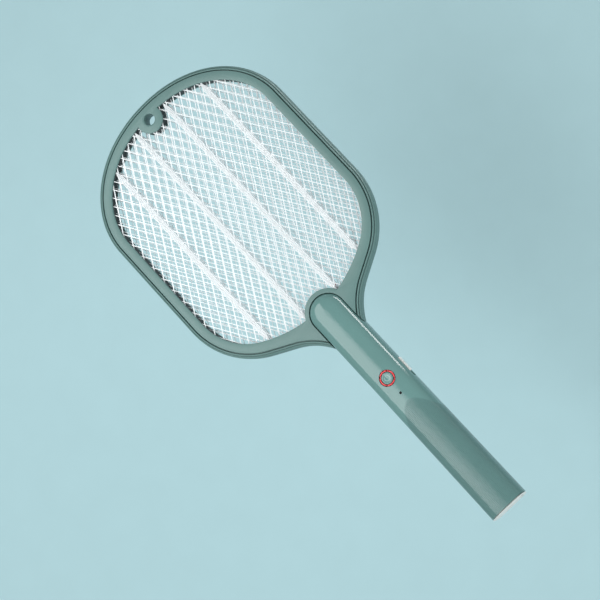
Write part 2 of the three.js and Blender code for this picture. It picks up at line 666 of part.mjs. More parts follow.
// Each lead is a smooth route through a few hand-placed points.
function buildLeads() {
  const cellEnd = CELL_START_Y + CELL_BODY_LENGTH;
  add('battery_lead_red', 'red', wire([
    [4, cellEnd + 1.5, 0], [7, cellEnd + 5, 1], [8, cellEnd + 9, 2], [8, 98, 2], [8, 101, 1.5],
  ]));
  add('battery_lead_black', 'black', wire([
    [-4, 16.4, 2], [-9, 16.2, 1.5], [-12, 20, 0.5], [-12, 50, 0], [-12, 80, 0],
    [-11, 90, 1], [-9, 97, 2], [-8, 101, 1.5],
  ], WIRE_RADIUS, 18));
  add('charge_lead', 'red', wire([
    [7, 14, -0.9], [10, 18, -0.5], [12, 24, 0], [12, 50, 0], [12, 80, 0],
    [11, 90, 1], [10.4, 97, 2], [10.4, 103, 1.5],
  ], WIRE_RADIUS, 18));

  const out = (reach, side, z) => [
    side * reach * Math.cos(LEAD_ANGLE), HANDLE_TIP_Y + reach * Math.sin(LEAD_ANGLE), z,
  ];
  add('net_lead_red', 'red', wire([
    [6, 192.5, 1.6], [7, 197, 2], [7, 205, 1.8], [8, 214, LEAD_Z],
    out(14, 1, LEAD_Z), out(18, 1, LEAD_Z), out(21, 1, LEAD_Z), out(24.5, 1, LEAD_Z),
  ], WIRE_RADIUS, 18));
  add('net_lead_black', 'black', wire([
    [-6, 192.5, -2.2], [-7, 197, -2.2], [-7, 205, -2], [-8, 214, -LEAD_Z], out(14, -1, -LEAD_Z),
    out(18, -1, -LEAD_Z), out(21, -1, -LEAD_Z - 0.3), out(23.5, -1, -LEAD_Z - 1.2),
    out(24.5, -1, -OUTER_NET_Z + 1.2),
  ], WIRE_RADIUS, 18));
}

buildHead();
buildHandleCovers();
buildEndCap();
buildControls();
buildBoard();
buildCell();
buildLeads();

object.position.set(0, -LENGTH / 2, -REST_Z);

export default object;
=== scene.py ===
"""Looks of the electric fly swatter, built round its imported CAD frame.

Shapes are worked out in millimetres in the part's own frame: X across the head, Y from the end
of the handle, Z from the parting plane, out of the front face. piece() takes them to the row frame.
"""

import json
import math

import bmesh
import bpy
import numpy as np
from mathutils import Matrix, Quaternion, Vector
from mathutils.geometry import tessellate_polygon


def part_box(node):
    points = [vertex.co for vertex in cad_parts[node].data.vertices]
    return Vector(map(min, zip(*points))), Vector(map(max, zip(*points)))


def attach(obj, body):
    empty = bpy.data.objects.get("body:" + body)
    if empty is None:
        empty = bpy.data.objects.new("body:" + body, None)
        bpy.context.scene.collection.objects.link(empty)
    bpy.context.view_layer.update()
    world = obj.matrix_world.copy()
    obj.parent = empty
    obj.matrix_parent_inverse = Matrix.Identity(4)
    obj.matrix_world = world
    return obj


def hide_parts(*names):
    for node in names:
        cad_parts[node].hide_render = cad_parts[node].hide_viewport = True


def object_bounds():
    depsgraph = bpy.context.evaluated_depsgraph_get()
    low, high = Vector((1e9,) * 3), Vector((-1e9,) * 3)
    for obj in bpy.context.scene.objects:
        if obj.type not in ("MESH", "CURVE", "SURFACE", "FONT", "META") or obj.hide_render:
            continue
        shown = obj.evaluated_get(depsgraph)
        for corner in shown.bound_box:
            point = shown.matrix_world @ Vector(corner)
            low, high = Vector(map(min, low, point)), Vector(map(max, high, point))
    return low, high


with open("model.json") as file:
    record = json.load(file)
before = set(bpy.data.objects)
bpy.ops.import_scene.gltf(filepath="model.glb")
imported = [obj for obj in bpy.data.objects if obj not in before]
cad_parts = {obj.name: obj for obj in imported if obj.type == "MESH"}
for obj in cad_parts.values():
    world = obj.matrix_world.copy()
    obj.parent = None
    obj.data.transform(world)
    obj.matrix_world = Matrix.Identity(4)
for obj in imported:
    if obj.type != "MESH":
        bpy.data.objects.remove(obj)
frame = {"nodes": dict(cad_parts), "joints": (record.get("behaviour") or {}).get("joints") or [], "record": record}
cad_low, cad_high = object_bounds()

# ---- driving dimensions, in millimetres ----

MM = 0.001
PARTING_HEIGHT = (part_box("front_rim")[0].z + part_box("rear_rim")[1].z) / 2
ORIGIN = Vector((0, cad_low.y, PARTING_HEIGHT))


def reach(node):
    """Lowest and highest corner of a CAD node, in millimetres of the part's own frame."""
    low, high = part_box(node)
    return (low - ORIGIN) / MM, (high - ORIGIN) / MM


GAP = 0.3
RIM_WIDTH = 4
HEAD_HALF_WIDTH = reach("front_rim")[1].x - RIM_WIDTH
HEAD_TOP_RISE = 73.6
HEAD_TOP_Y = reach("front_rim")[1].y - RIM_WIDTH - HEAD_TOP_RISE
TOP_POWER = 2.05
SHOULDER_Y = 285.5
SHOULDER_RADIUS = 66
SHOULDER_TURN = math.radians(62)
NECK_SLOPE_LENGTH = 22
NECK_RADIUS = 62

OPENING_HALF_WIDTH = 85.2
OPENING_TOP_RISE = 65.8
OPENING_CORNER_RADIUS = 54
OPENING_FLOOR_RADIUS = 115
OPENING_FLOOR_CENTRE_Y = 336.7
LOBE_RADIUS = 20.3
BOSS_RADIUS = 11.9
BOSS_START_ANGLE = 0.2
TOP_SHARE = 0.917
HANG_HOLE_Y = 441.8
HANG_HOLE_RADIUS = 4.9
HANG_TUBE_RADIUS = 7.5

BEZEL_TOP = reach("front_bezel")[1].z
BEZEL_BOTTOM = BEZEL_TOP - 1.9
RIM_TOP = reach("front_rim")[1].z
PARTING = GAP / 2
SPACER_LOW, SPACER_HIGH = (corner.z for corner in reach("front_net_spacer"))
SPACER_WIDTH = 2.4
NET_REACH = 2.0

HANDLE_HALF_WIDTH = 16.3
HANDLE_HALF_DEPTH = 12.8
HANDLE_POWER = 3.4
HANDLE_END_Y = reach("handle_front_cover")[0].y
HANDLE_TIP_Y = reach("handle_front_cover")[1].y - HANDLE_HALF_WIDTH
HANDLE_FLARE = 17.0 / 16.3
FLARE_LENGTH = HANDLE_TIP_Y * 2 / 3
REST_Z = reach("handle_rear_cover")[0].z
WALL = 2

GRIP_START_Y = 116.6
GRIP_START_DROP = 14.6
GRIP_START_SPREAD = 14
RIB_COUNT = 40
RIB_DEPTH = 0.24
RIB_END_SHARE = 0.972
POINTS_PER_RIB = 8

RING_Y = (reach("button_light_ring")[0].y + reach("button_light_ring")[1].y) / 2
LENS_Y = (reach("status_lens")[0].y + reach("status_lens")[1].y) / 2
BUTTON_RADIUS = 4.95
BUTTON_WELL_RADIUS = 7.0
SCREW_SEAT_DEPTH = 2.1
LENS_HOLE_RADIUS = 1.15
RING_INNER_RADIUS = 5.35
RING_OUTER_RADIUS = 6.45
RING_GAP_HALF_ANGLE = 8.0
RING_GAP_DEPTH = 1.3
SLIDER_BAR_Y = (134.5, 148.5)
SLIDER_HALF_HEIGHT = 2.7

CELL_WIDTH = 8
CELL_LENGTH = 13.3
GRID_HALF_STEPS = (26, 24)
STRAND_HALF_WIDTH = 0.33
STRAND_HALF_THICKNESS = 0.2
STRAND_TWIST = 0.22
SHORTEST_STUB = 0.04
RIDGE_SPACING = 35
RIDGE_LINE_OFFSETS = (-1.9, -0.95, 0, 0.95, 1.9)
RIDGE_LINE_HALF_WIDTH = 0.31
RIDGE_HEIGHT = 1.05
RIDGE_CROWN_HALF_WIDTH = 3.0
RIDGE_WAVE = 0.12
RIDGE_TAPER = 7.0
RIDGE_TIP_SHARE = 0.06

# ---- outlines in the plane of the head, as arrays of points ----


def arc(centre, radius, start, end, steps):
    angles = np.linspace(start, end, steps + 1)
    return np.c_[centre[0] + radius * np.cos(angles), centre[1] + radius * np.sin(angles)]


def circle(x, y, radius, steps=48):
    return arc((x, y), radius, 0, 2 * math.pi, steps)[:-1]


def superellipse(half_width, half_height, power, angles):
    c, s = np.cos(angles), np.sin(angles)
    x = half_width * np.sign(c) * np.abs(c) ** (2 / power)
    y = half_height * np.sign(s) * np.abs(s) ** (2 / power)
    return np.c_[x, y]


def mirrored(half):
    """A right half that ends on the middle line, followed by its mirror image back down."""
    left = half[np.abs(half[:, 0]) > 1e-6][::-1] * (-1, 1)
    return np.vstack([half, left])


def head_outline(outwards, start_x):
    """The head's outline, moved outwards, from one side of the handle round to the other."""
    lean = math.pi / 2 - SHOULDER_TURN
    shoulder = arc(
        (HEAD_HALF_WIDTH - SHOULDER_RADIUS, SHOULDER_Y), SHOULDER_RADIUS + outwards,
        -SHOULDER_TURN, 0, 30,
    )
    neck_radius = NECK_RADIUS - outwards
    slope_end = shoulder[0] - NECK_SLOPE_LENGTH * np.array([math.cos(lean), math.sin(lean)])
    centre = slope_end + neck_radius * np.array([math.sin(lean), -math.cos(lean)])
    first = math.acos((start_x - centre[0]) / neck_radius)
    neck = arc(centre, neck_radius, first, math.pi / 2 + lean, 16)
    top = superellipse(
        HEAD_HALF_WIDTH + outwards, HEAD_TOP_RISE + outwards, TOP_POWER,
        np.linspace(0, math.pi / 2, 49),
    )
    top[-1, 0] = 0
    return mirrored(np.vstack([neck, shoulder, top + (0, HEAD_TOP_Y)]))


def opening_outline():
    """Lobe round the handle's tip, floor, corners, straight sides, top and hanging boss."""
    floor_drop = OPENING_FLOOR_CENTRE_Y - HANDLE_TIP_Y
    lobe_turn = math.asin(
        (floor_drop**2 + LOBE_RADIUS**2 - OPENING_FLOOR_RADIUS**2) / (2 * floor_drop * LOBE_RADIUS)
    )
    lobe = arc((0, HANDLE_TIP_Y), LOBE_RADIUS, math.pi / 2, lobe_turn, 24)
    corner_x = OPENING_HALF_WIDTH - OPENING_CORNER_RADIUS
    rise = OPENING_FLOOR_RADIUS - OPENING_CORNER_RADIUS
    corner_y = OPENING_FLOOR_CENTRE_Y - math.sqrt(rise**2 - corner_x**2)
    tangent = -math.acos(corner_x / rise)
    floor_start = math.atan2(lobe[-1, 1] - OPENING_FLOOR_CENTRE_Y, lobe[-1, 0])
    floor = arc(
        (0, OPENING_FLOOR_CENTRE_Y), OPENING_FLOOR_RADIUS, floor_start, tangent, 16
    )
    corner = arc((corner_x, corner_y), OPENING_CORNER_RADIUS, tangent, 0, 26)
    top = superellipse(
        OPENING_HALF_WIDTH, OPENING_TOP_RISE, TOP_POWER,
        np.linspace(0, TOP_SHARE * math.pi / 2 * 0.9, 40),
    )
    boss = arc((0, HANG_HOLE_Y), BOSS_RADIUS, BOSS_START_ANGLE, -math.pi / 2, 22)
    lobe[0, 0] = 0
    boss[-1, 0] = 0
    return mirrored(
        np.vstack([lobe, floor[1:], corner[1:], top[1:] + (0, HEAD_TOP_Y), boss])
    )


def unit(vectors):
    return vectors / np.linalg.norm(vectors, axis=1, keepdims=True)


def grown(outline, distance):
    """A closed outline moved outwards, each corner along the line that halves it."""
    before = unit(outline - np.roll(outline, 1, axis=0))
    after = np.roll(before, -1, axis=0)
    normal = unit(np.c_[before[:, 1] + after[:, 1], -before[:, 0] - after[:, 0]])
    spread = np.maximum((normal * np.c_[after[:, 1], -after[:, 0]]).sum(1), 0.5)
    return outline + normal * (distance / spread)[:, None]


def inside(outline, points):
    """Which points lie in a closed outline."""
    x, y = points[:, 0, None], points[:, 1, None]
    ax, ay = outline[:, 0], outline[:, 1]
    bx, by = np.roll(ax, -1), np.roll(ay, -1)
    crosses = (ay > y) != (by > y)
    slope = np.where(by == ay, 1, by - ay)
    hits = crosses & (x < ax + (y - ay) / slope * (bx - ax))
    return hits.sum(1) % 2 == 1


def resampled(points, count):
    """The same open line with evenly spaced points."""
    lengths = np.r_[0, np.cumsum(np.linalg.norm(np.diff(points, axis=0), axis=1))]
    at = np.linspace(0, lengths[-1], count)
    return np.c_[np.interp(at, lengths, points[:, 0]), np.interp(at, lengths, points[:, 1])]


opening = opening_outline()

# ---- mesh helpers ----

UP_ALONG_Y = Matrix(((1, 0, 0), (0, 0, 1), (0, 1, 0)))
TURNED_OVER = Matrix(((-1, 0, 0), (0, 1, 0), (0, 0, -1)))


def smooth(mesh):
    for face in mesh.faces:
        face.smooth = True


def plate(strips):
    """A closed mesh from strips, each a list of (outline, height) from the top face to the bottom."""
    mesh = bmesh.new()
    tops, bottoms = [], []
    for strip in strips:
        rings = [[mesh.verts.new((x, y, height)) for x, y in outline] for outline, height in strip]
        for upper, lower in zip(rings, rings[1:]):
            for i in range(len(upper)):
                j = (i + 1) % len(upper)
                mesh.faces.new((upper[i], upper[j], lower[j], lower[i]))
        tops.append(rings[0])
        bottoms.append(rings[-1])
    smooth(mesh)
    for rings in (tops, bottoms):
        flat = [vertex for ring in rings for vertex in ring]
        for corners in tessellate_polygon([[v.co for v in ring] for ring in rings]):
            mesh.faces.new([flat[k] for k in corners])
    return mesh


def swept(profile, path):
    """A profile of (outwards, height) points swept along an open path, with a flat cap at each end."""
    mesh = bmesh.new()
    lines = [
        [mesh.verts.new((x, y, height)) for x, y in path(outwards)] for outwards, height in profile
    ]
    for line, following in zip(lines, lines[1:] + lines[:1]):
        for i in range(len(line) - 1):
            mesh.faces.new((line[i], line[i + 1], following[i + 1], following[i]))
    smooth(mesh)
    caps = [mesh.faces.new([line[end] for line in lines]) for end in (0, -1)]
    bmesh.ops.triangulate(mesh, faces=caps)
    return mesh


def lathe(profile, x=0, y=0, sides=64):
    """A piece turned round a line along Z, from a profile of (radius, height) from axis to axis."""
    mesh = bmesh.new()
    angles = np.arange(sides) * 2 * math.pi / sides
    rings = []
    for radius, height in profile:
        count = 1 if radius == 0 else sides
        rings.append([
            mesh.verts.new((x + radius * math.cos(a), y + radius * math.sin(a), height))
            for a in angles[:count]
        ])
    for ring, following in zip(rings, rings[1:]):
        for i in range(sides):
            corners = [
                ring[i % len(ring)], ring[(i + 1) % len(ring)],
                following[(i + 1) % len(following)], following[i % len(following)],
            ]
            mesh.faces.new(list(dict.fromkeys(corners)))
    smooth(mesh)
    return mesh


def box(low, high, rounding=0.0):
    """A closed box, with its edges rounded."""
    mesh = bmesh.new()
    size = Vector(high) - Vector(low)
    middle = (Vector(high) + Vector(low)) / 2
    bmesh.ops.create_cube(mesh, size=1, matrix=Matrix.LocRotScale(middle, None, size))
    if rounding:
        bmesh.ops.bevel(mesh, geom=list(mesh.edges), offset=rounding, segments=3, profile=0.5)
    return mesh


def joined(*meshes):
    whole = bmesh.new()
    for mesh in meshes:
        data = bpy.data.meshes.new("joining")
        mesh.to_mesh(data)
        whole.from_mesh(data)
        bpy.data.meshes.remove(data)
        mesh.free()
    return whole


def as_object(mesh, name):
    bmesh.ops.recalc_face_normals(mesh, faces=mesh.faces)
    data = bpy.data.meshes.new(name)
    mesh.to_mesh(data)
    mesh.free()
    made = bpy.data.objects.new(name, data)
    bpy.context.scene.collection.objects.link(made)
    return made


def cut(mesh, tool, operation="DIFFERENCE"):
    """Cuts or joins two closed meshes and returns the result."""
    target = as_object(mesh, "target")
    other = as_object(tool, "tool")
    boolean = target.modifiers.new("boolean", "BOOLEAN")
    boolean.operation = operation
    boolean.solver = "MANIFOLD"
    boolean.object = other
    evaluated = target.evaluated_get(bpy.context.evaluated_depsgraph_get())
    result = bmesh.new()
    result.from_mesh(evaluated.to_mesh())
    evaluated.to_mesh_clear()
    for used in (target, other):
        data = used.data
        bpy.data.objects.remove(used)
        bpy.data.meshes.remove(data)
    return result


def piece(mesh, name, body, slot, replaced=(), turn=None, sharp=35, finish=None):
    """Places a mesh, gives it the finish of its slot or its own one, and lets it ride on a body."""
    if turn is not None:
        bmesh.ops.transform(mesh, matrix=turn.to_4x4(), verts=mesh.verts)
    bmesh.ops.transform(mesh, matrix=Matrix.Scale(MM, 4), verts=mesh.verts)
    bmesh.ops.translate(mesh, vec=ORIGIN, verts=mesh.verts)
    made = as_object(mesh, name)
    made.data.set_sharp_from_angle(angle=math.radians(sharp))
    made.data.materials.append((finish or FINISHES[slot]).material)
    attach(made, body)
    if replaced:
        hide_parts(*replaced)
    return made


# ---- materials ----


def linear(red, green, blue):
    """A colour given in sRGB from 0 to 255, as linear values."""
    values = [channel / 255 for channel in (red, green, blue)]
    return [v / 12.92 if v <= 0.04045 else ((v + 0.055) / 1.055) ** 2.4 for v in values] + [1]


# Where a mix node keeps its two inputs and its result, for numbers and for colours.
MIX_SOCKETS = {"FLOAT": (2, 3, 0), "RGBA": (6, 7, 2)}


class Finish:
    """A Principled material and short ways to add nodes to it. Lengths are in metres."""

    def __init__(self, name, roughness, metallic=0.0, coat=0.0):
        self.material = bpy.data.materials.new(name)
        self.material.use_nodes = True
        self.tree = self.material.node_tree
        self.shader = self.tree.nodes["Principled BSDF"]
        self.shader.inputs["Metallic"].default_value = metallic
        self.shader.inputs["Roughness"].default_value = roughness
        self.shader.inputs["Coat Weight"].default_value = coat
        self.shader.inputs["Coat Roughness"].default_value = 0.08
        self.place = self.tree.nodes.new("ShaderNodeTexCoord").outputs["Object"]

    def node(self, kind, **inputs):
        node = self.tree.nodes.new(kind)
        for name, value in inputs.items():
            self.feed(node.inputs[name], value)
        return node

    def feed(self, socket, value):
        """Links a socket to another node's output, or sets it to a constant."""
        if isinstance(value, bpy.types.NodeSocket):
            self.tree.links.new(value, socket)
        else:
            socket.default_value = value

    def link(self, output, name):
        self.tree.links.new(output, self.shader.inputs[name])

    def maths(self, operation, *values):
        node = self.node("ShaderNodeMath")
        node.operation = operation
        for socket, value in zip(node.inputs, values):
            self.feed(socket, value)
        return node.outputs["Value"]

    def mix(self, kind, factor, first, second, blend="MIX"):
        node = self.node("ShaderNodeMix", Factor=factor)
        node.data_type = kind
        node.blend_type = blend
        first_socket, second_socket, result = MIX_SOCKETS[kind]
        self.feed(node.inputs[first_socket], first)
        self.feed(node.inputs[second_socket], second)
        return node.outputs[result]

    def noise(self, grain, detail=3.0, stretch=(1, 1, 1)):
        """Noise whose grains are about this long, drawn out along an axis by its stretch."""
        mapping = self.node("ShaderNodeMapping", Vector=self.place)
        mapping.inputs["Scale"].default_value = [1 / (grain * s) for s in stretch]
        made = self.node("ShaderNodeTexNoise", Vector=mapping.outputs["Vector"], Detail=detail)
        made.inputs["Scale"].default_value = 1
        return made.outputs["Fac"]

    def ramp(self, factor, *stops):
        """A blend between two colours, from one position of the factor to another."""
        ramp = self.node("ShaderNodeValToRGB", Fac=factor)
        for element, (position, colour) in zip(ramp.color_ramp.elements, stops):
            element.position = position
            element.color = colour
        return ramp.outputs["Color"]

    def between(self, factor, low, high):
        made = self.node("ShaderNodeMapRange", Value=factor)
        made.inputs["From Min"].default_value = 0.3
        made.inputs["From Max"].default_value = 0.7
        made.inputs["To Min"].default_value = low
        made.inputs["To Max"].default_value = high
        return made.outputs["Result"]

    def bump(self, height, distance):
        made = self.node("ShaderNodeBump", Height=height, Strength=1.0, Distance=distance)
        self.link(made.outputs["Normal"], "Normal")


def tinted(colour, factor):
    return [channel * factor for channel in colour[:3]] + [1]


def moulded(name, colour, roughness, texture, spread=0.05, coat=0.0):
    """Moulded plastic: slow change of tone, fine grain in colour and gloss, and a fine skin texture."""
    finish = Finish(name, roughness, coat=coat)
    tone = finish.ramp(
        finish.noise(0.035, 4), (0.3, tinted(colour, 1 - spread)), (0.7, tinted(colour, 1 + spread))
    )
    speck = finish.ramp(
        finish.noise(0.0006, 2), (0.3, (0.96, 0.96, 0.96, 1)), (0.7, (1.04, 1.04, 1.04, 1))
    )
    finish.link(finish.mix("RGBA", 1, tone, speck, "MULTIPLY"), "Base Color")
    finish.link(finish.between(finish.noise(0.004, 3), roughness - 0.04, roughness + 0.04), "Roughness")
    finish.bump(finish.noise(0.0004, 2), texture)
    return finish


def metal(name, colour, roughness, metallic, grain=0.0005, stretch=(1, 1, 1)):
    finish = Finish(name, roughness, metallic=metallic)
    lines = finish.noise(grain, 3, stretch)
    finish.link(
        finish.ramp(lines, (0.25, tinted(colour, 0.88)), (0.75, tinted(colour, 1.05))), "Base Color"
    )
    finish.link(finish.between(lines, roughness - 0.08, roughness + 0.08), "Roughness")
    finish.bump(lines, 0.00002)
    return finish


def handle_finish(name, colour):
    """Glossy above the grip, darker and satin on it, with the grip's curved start."""
    finish = moulded(name, colour, 0.12, 0.0000015, spread=0.03)
    split = finish.node("ShaderNodeSeparateXYZ", Vector=finish.place)
    curve = GRIP_START_DROP / GRIP_START_SPREAD**2 / MM
    sideways_squared = finish.maths("POWER", finish.maths("ABSOLUTE", split.outputs["X"]), 2.0)
    bend = finish.maths("MULTIPLY", sideways_squared, curve)
    along = finish.maths("ADD", split.outputs["Y"], bend)
    on_grip = finish.maths("LESS_THAN", along, ORIGIN.y + GRIP_START_Y * MM)
    plain = finish.shader.inputs["Base Color"].links[0].from_socket
    grip_tint = (0.86, 0.86, 0.87, 1)
    finish.link(finish.mix("RGBA", on_grip, plain, grip_tint, "MULTIPLY"), "Base Color")
    patches = finish.noise(0.006, 3)
    gloss = finish.between(patches, 0.04, 0.07)
    satin = finish.between(patches, 0.11, 0.16)
    finish.link(finish.mix("FLOAT", on_grip, gloss, satin), "Roughness")
    return finish


def sleeve(name, colour):
    """Shrink sleeve of the cell: thin and glossy, with faint creases along it."""
    finish = moulded(name, colour, 0.3, 0.00002, coat=0.3)
    finish.bump(finish.noise(0.0015, 2, (1, 8, 1)), 0.00006)
    return finish


FINISHES = {
    "frame_plastic": moulded("frame_plastic", linear(97, 129, 126), 0.42, 0.000006),
    "handle_plastic": handle_finish("handle_plastic", linear(100, 138, 135)),
    "black_plastic": moulded("black_plastic", linear(30, 31, 33), 0.5, 0.000006),
    "net_aluminium": metal("net_aluminium", linear(238, 242, 244), 0.36, 0.12),
    "white_plastic": moulded("white_plastic", linear(240, 240, 237), 0.35, 0.000003),
    "red_plastic": moulded("red_plastic", linear(226, 48, 56), 0.28, 0.000002, coat=0.3),
    "steel": metal("steel", linear(196, 198, 200), 0.3, 1.0, stretch=(6, 1, 1)),
    "board": moulded("board", linear(38, 104, 56), 0.35, 0.00001, coat=0.4),
    "copper": metal("copper", linear(190, 118, 62), 0.3, 0.9, 0.0004, (8, 1, 1)),
    "ferrite": moulded("ferrite", linear(44, 44, 47), 0.75, 0.00002),
    "component_resin": moulded("component_resin", linear(150, 70, 32), 0.3, 0.00001, coat=0.4),
    "cell": sleeve("cell", linear(44, 104, 168)),
}
for subpart in frame["record"]["subparts"]:
    node = frame["nodes"][subpart["node"]]
    node.data.materials.clear()
    node.data.materials.append(FINISHES[subpart["material_slot"]].material)

# ---- head ----

HEAD_SCREWS = [
    ((low.x + high.x) / 2, (low.y + high.y) / 2)
    for low, high in (reach(f"head_screw_{i + 1}") for i in range(6))
]


def bezel_outline(inset):
    """The flat bezel's outer edge: the head's groove line and the round notch for the handle's tip."""
    half = HANDLE_HALF_WIDTH + inset / 3
    notch = arc((0, HANDLE_TIP_Y), half, math.pi, 0, 48)
    return np.vstack([head_outline(-GAP - inset, half), notch])


def bezel(screw_places=()):
    outer = [
        (bezel_outline(0.5), BEZEL_TOP), (bezel_outline(0.25), BEZEL_TOP - 0.1),
        (bezel_outline(0.15), BEZEL_TOP - 0.35), (bezel_outline(0.15), BEZEL_BOTTOM),
    ]
    edge = [
        (grown(opening, 0.45), BEZEL_TOP), (grown(opening, 0.12), BEZEL_TOP - 0.12),
        (opening, BEZEL_TOP - 0.45), (opening, BEZEL_BOTTOM),
    ]
    boss_steps = [
        (HANG_HOLE_RADIUS + 1.2, 0), (HANG_HOLE_RADIUS + 0.95, 0.2), (HANG_HOLE_RADIUS + 0.6, 0.26),
        (HANG_HOLE_RADIUS + 0.2, 0.36), (HANG_HOLE_RADIUS, 0.8),
    ]
    boss = [(circle(0, HANG_HOLE_Y, radius), BEZEL_TOP - drop) for radius, drop in boss_steps]
    boss += [
        (circle(0, HANG_HOLE_Y, HANG_HOLE_RADIUS), PARTING),
        (circle(0, HANG_HOLE_Y, HANG_TUBE_RADIUS), PARTING),
        (circle(0, HANG_HOLE_Y, HANG_TUBE_RADIUS), BEZEL_BOTTOM),
    ]
    screw_holes = [
        [
            (circle(x, y, 2.75, 32), BEZEL_TOP), (circle(x, y, 2.5, 32), BEZEL_TOP - 0.25),
            (circle(x, y, 2.5, 32), BEZEL_BOTTOM),
        ]
        for x, y in screw_places
    ]
    return plate([outer, edge, boss, *screw_holes])


RIM_PROFILE = [
    (0.0, PARTING), (0.0, 3.1), (0.35, 3.1), (0.38, 6.2), (0.5, 6.75), (0.75, 7.08),
    (1.1, RIM_TOP), (1.45, 7.1), (1.7, 6.85), (1.82, 6.5), (1.88, 6.2), (1.92, 5.2), (2.25, 5.2),
    (2.28, 5.75), (2.4, 5.9), (2.8, 5.8), (3.2, 5.45), (3.5, 4.95), (3.66, 4.45), (3.7, 4.0),
    (3.6, 3.9), (3.6, 3.6), (3.85, 3.5), (3.95, 2.6), (4.0, 1.4), (3.96, 0.6), (3.55, PARTING),
]
SHELF_PROFILE = [(0.6, 3.0), (0.6, 4.2), (-2.5, 4.2), (-2.5, 3.0)]


def rim():
    """The rounded rim outside the groove, with its bead and step, and the shelf under the bezel."""
    end_x = HANDLE_HALF_WIDTH + GAP
    edge = swept(RIM_PROFILE, lambda outwards: head_outline(outwards, end_x))
    shelf = swept(SHELF_PROFILE, lambda outwards: head_outline(outwards, end_x))
    return joined(edge, shelf)


def spacer():
    inner, outer = grown(opening, 0.2), grown(opening, SPACER_WIDTH)
    return plate([
        [(inner, SPACER_HIGH), (inner, SPACER_LOW)],
        [(outer, SPACER_HIGH), (outer, SPACER_LOW)],
    ])


CORNERS = {"right": (1, 0), "top": (0, 1), "left": (-1, 0), "bottom": (0, -1)}
# Ways to a neighbouring knot: the step, and the corners that the strand's two sides join.
DIRECTIONS = [
    ((1, 1), ("right", "bottom"), ("top", "left")),
    ((-1, 1), ("top", "right"), ("left", "bottom")),
    ((-1, -1), ("left", "top"), ("bottom", "right")),
    ((1, -1), ("bottom", "left"), ("right", "top")),
]


def expanded_metal(height, shift, stretch=1.0, turn=0.0):
    """Expanded metal inside the opening: knots on a staggered grid, joined by twisted strands."""
    mesh = bmesh.new()
    step = np.array([CELL_WIDTH / 2, CELL_LENGTH / 2]) * stretch
    slant = math.atan2(step[0], step[1])
    knot = np.array([STRAND_HALF_WIDTH / math.cos(slant), STRAND_HALF_WIDTH / math.sin(slant)])
    middle = np.array([0, HEAD_TOP_Y - 50])
    rotation = np.array([[math.cos(turn), -math.sin(turn)], [math.sin(turn), math.cos(turn)]])
    limit = grown(opening, NET_REACH)

    def flat(points):
        return np.atleast_2d(points) @ rotation.T + middle + shift

    across_steps, along_steps = (range(-count, count + 1) for count in GRID_HALF_STEPS)
    grid = [(i, j) for i in across_steps for j in along_steps if (i + j) % 2 == 0]
    kept = inside(limit, flat(np.array(grid) * step))
    grid = [place for place, keep in zip(grid, kept) if keep]

    def corner(i, j, name):
        across, along = CORNERS[name]
        return np.array([i, j]) * step + knot * (across, along), along * STRAND_TWIST

    def pair(place, lift):
        (x, y), = flat(place)
        z = height + lift
        return [
            mesh.verts.new((x, y, z + STRAND_HALF_THICKNESS)),
            mesh.verts.new((x, y, z - STRAND_HALF_THICKNESS)),
        ]

    def band(start_right, start_left, end_right, end_left):
        for k in (0, 1):
            mesh.faces.new((start_right[k], end_right[k], end_left[k], start_left[k]))
        mesh.faces.new((start_right[0], end_right[0], end_right[1], start_right[1]))
        mesh.faces.new((start_left[0], end_left[0], end_left[1], start_left[1]))

    knots = {
        (i, j): {name: pair(*corner(i, j, name)) for name in CORNERS} for i, j in grid
    }
    for (i, j), corners in knots.items():
        for k in (0, 1):
            mesh.faces.new([corners[name][k] for name in CORNERS])
        for (across, along), right_side, left_side in DIRECTIONS:
            other = (i + across, j + along)
            start_right, start_left = corners[right_side[0]], corners[left_side[0]]
            if other in knots:
                if along > 0:
                    end_right, end_left = (knots[other][side[1]] for side in (right_side, left_side))
                    band(start_right, start_left, end_right, end_left)
                continue
            ends = []
            for side in (right_side, left_side):
                near, near_lift = corner(i, j, side[0])
                far, far_lift = corner(*other, side[1])
                share, width = 0.0, 1.0
                for _ in range(8):
                    width /= 2
                    if inside(limit, flat(near + (far - near) * (share + width)))[0]:
                        share += width
                share = max(share, SHORTEST_STUB)
                lift = near_lift + (far_lift - near_lift) * share
                ends.append(pair(near + (far - near) * share, lift))
            band(start_right, start_left, *ends)
            mesh.faces.new((ends[0][0], ends[1][0], ends[1][1], ends[0][1]))
    return mesh


